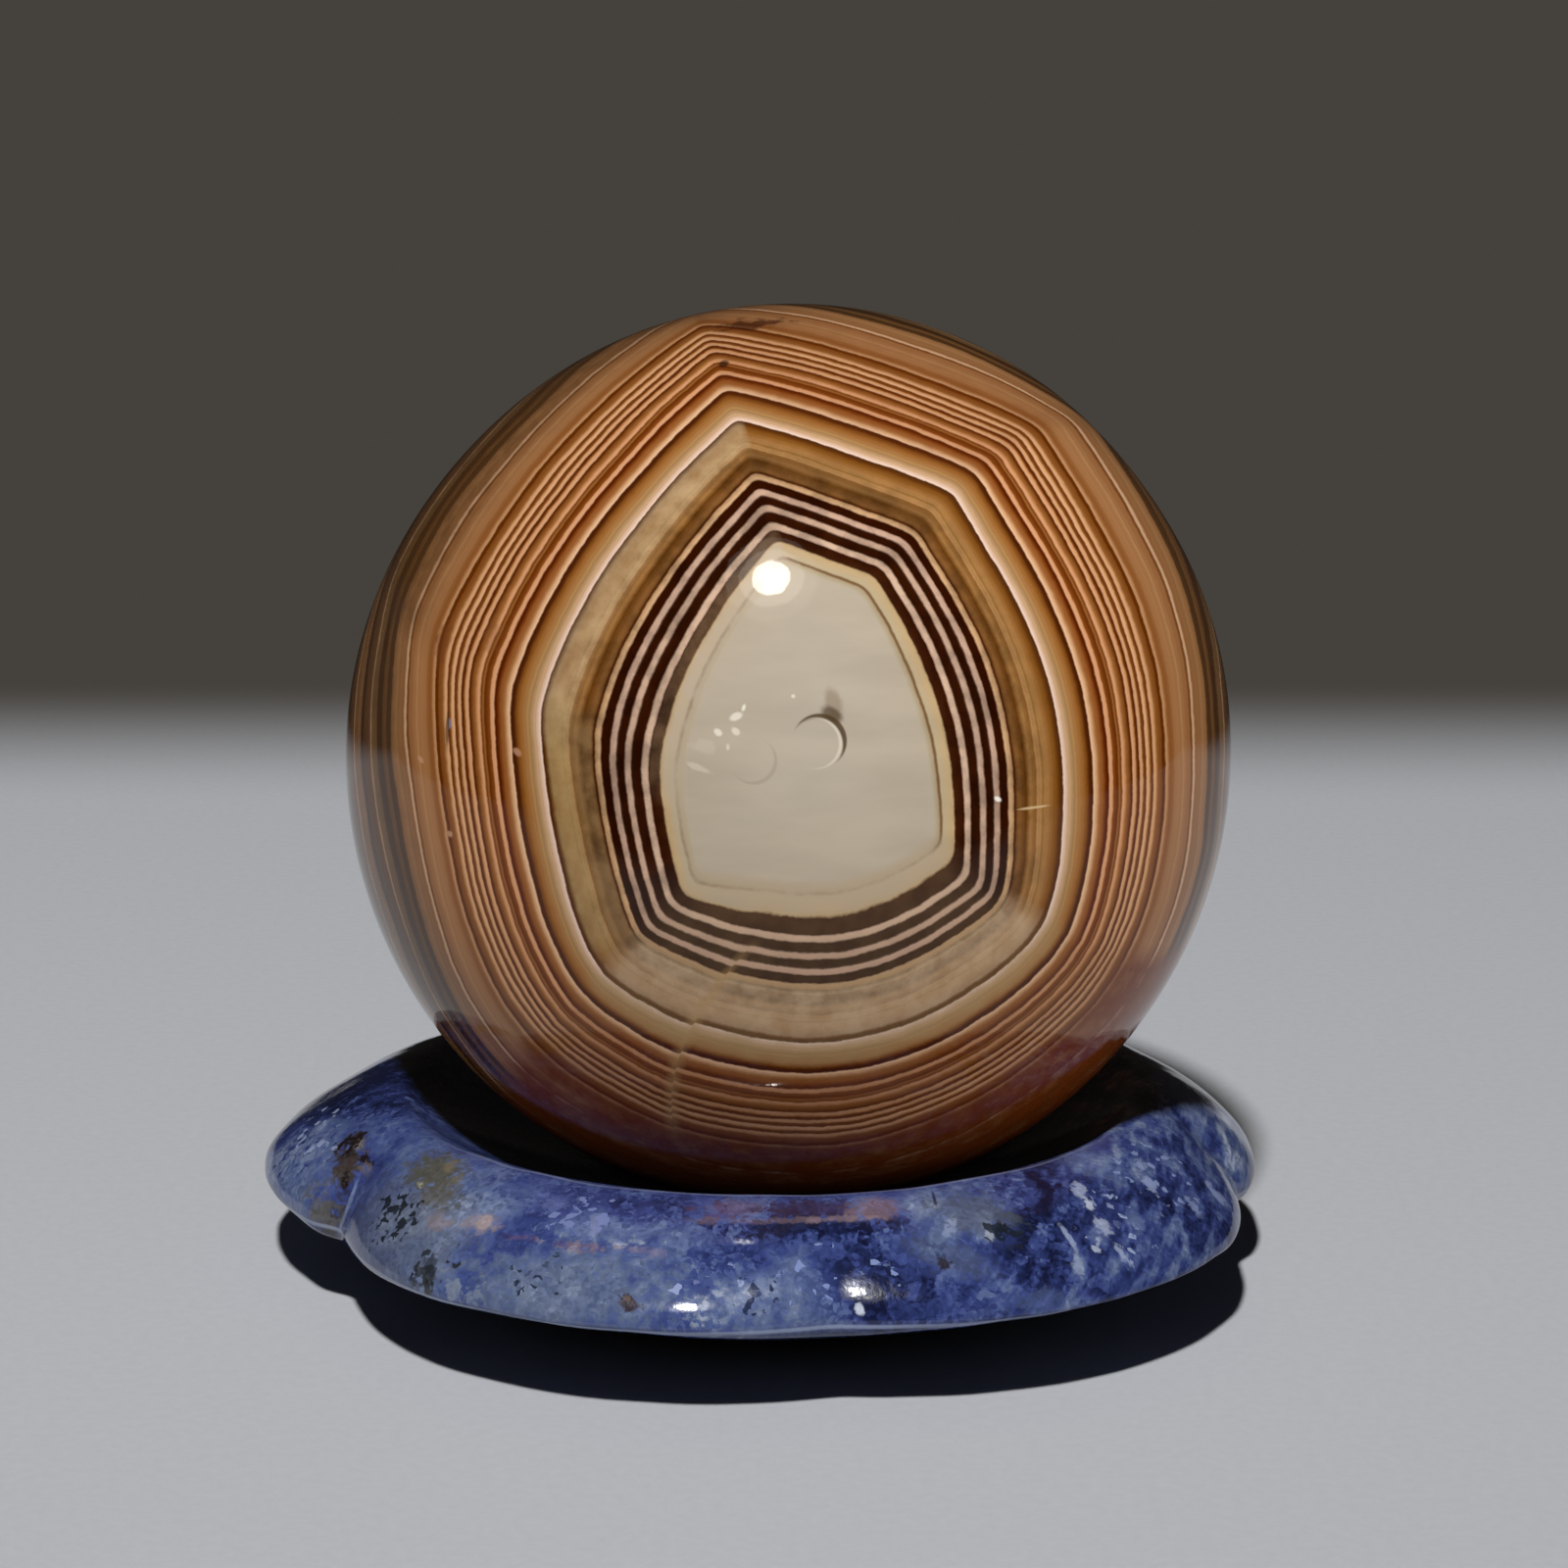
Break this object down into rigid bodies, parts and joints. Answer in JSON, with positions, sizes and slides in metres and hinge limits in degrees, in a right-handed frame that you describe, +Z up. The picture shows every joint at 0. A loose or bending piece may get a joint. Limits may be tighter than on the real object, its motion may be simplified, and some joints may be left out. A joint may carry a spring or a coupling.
{
  "type": "agate sphere on a stand",
  "caption": "Polished ball of banded agate resting in the shallow dish of a flower-shaped sodalite stand, a desk ornament.",
  "frame": {"origin": "centre of the stand's flat foot, on the surface it stands on", "axes": "+Z up out of the foot through the ball, -Y towards the side seen in a front view, +X to the right there"},
  "size_m": [0.0516, 0.0514, 0.0494],
  "materials": {
    "agate": "polished to a mirror gloss",
    "sodalite": "polished"
  },
  "bodies": {
    "root": {"agate_ball": "agate", "sodalite_stand": "sodalite"}
  },
  "joints": []
}
